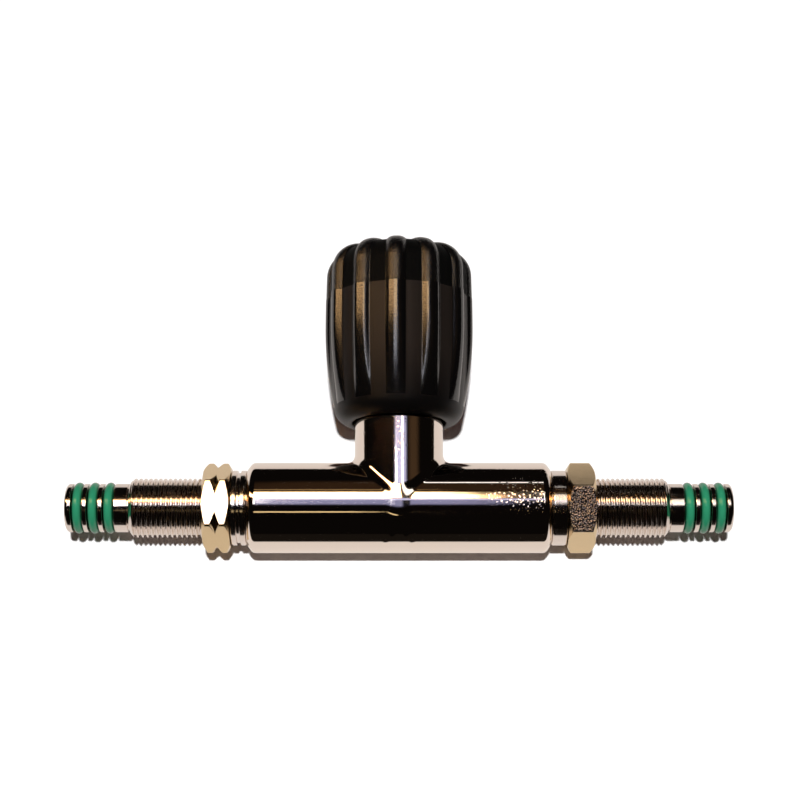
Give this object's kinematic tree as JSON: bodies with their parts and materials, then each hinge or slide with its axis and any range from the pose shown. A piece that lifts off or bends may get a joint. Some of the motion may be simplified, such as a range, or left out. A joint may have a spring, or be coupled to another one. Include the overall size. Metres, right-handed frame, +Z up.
{
  "type": "isolator valve",
  "caption": "Crossbar isolator valve for a twin-cylinder manifold: plated T body, ribbed knob, lock nuts and threaded ends with sealing rings.",
  "frame": {"origin": "where the bar's axis meets the stem's axis, halfway between the two ends", "axes": "+X along the bar towards the right-hand thread, +Y along the stem towards the knob, +Z up as the valve lies on a table"},
  "size_m": [0.2026, 0.0965, 0.0462],
  "materials": {
    "chromed_brass": "mirror polished, chromium plated brass",
    "nut_nickel": "satin nickel plated brass",
    "brass": "turned brass",
    "green_rubber": "moulded green fluorocarbon rubber",
    "white_plastic": "turned PTFE",
    "black_plastic": "moulded nylon",
    "black_rubber": "moulded rubber, semi-gloss",
    "steel": "stainless steel"
  },
  "bodies": {
    "housing": {"valve_body": "chromed_brass", "bonnet": "chromed_brass", "bonnet_seal": "green_rubber", "thrust_washer": "white_plastic", "left_connector": "chromed_brass", "right_connector": "chromed_brass", "left_connector_seal": "green_rubber", "left_barrel_seal_1": "green_rubber", "left_barrel_seal_2": "green_rubber", "left_barrel_seal_3": "green_rubber", "right_connector_seal": "green_rubber", "right_barrel_seal_1": "green_rubber", "right_barrel_seal_2": "green_rubber", "right_barrel_seal_3": "green_rubber"},
    "stem_and_knob": {"stem": "brass", "stem_seal_lower": "green_rubber", "stem_seal_upper": "green_rubber", "knob_hub": "black_plastic", "knob_grip": "black_rubber", "spring_washer": "steel", "knob_spring": "steel", "knob_nut": "steel"},
    "seat": {"seat_carrier": "brass", "seat_disc": "white_plastic"},
    "left_nut": {"left_lock_nut": "nut_nickel"},
    "right_nut": {"right_lock_nut": "nut_nickel"}
  },
  "joints": [
    {"name": "knob_turn", "type": "hinge", "parent": "housing", "child": "stem_and_knob", "pos_m": [0, 0, 0], "axis": [0, 1, 0], "range_deg": [0, 900]},
    {"name": "seat_lift", "type": "slide", "parent": "stem_and_knob", "child": "seat", "axis": [0, 1, 0], "range_m": [0, 0.0025]},
    {"name": "left_nut_travel", "type": "slide", "parent": "housing", "child": "left_nut", "axis": [-1, 0, 0], "range_m": [0, 0.02]},
    {"name": "right_nut_travel", "type": "slide", "parent": "housing", "child": "right_nut", "axis": [1, 0, 0], "range_m": [0, 0.02]}
  ],
  "couplings": [
    {"joint": "seat_lift", "follows": "knob_turn", "m_per_rad": 0.00015915}
  ]
}
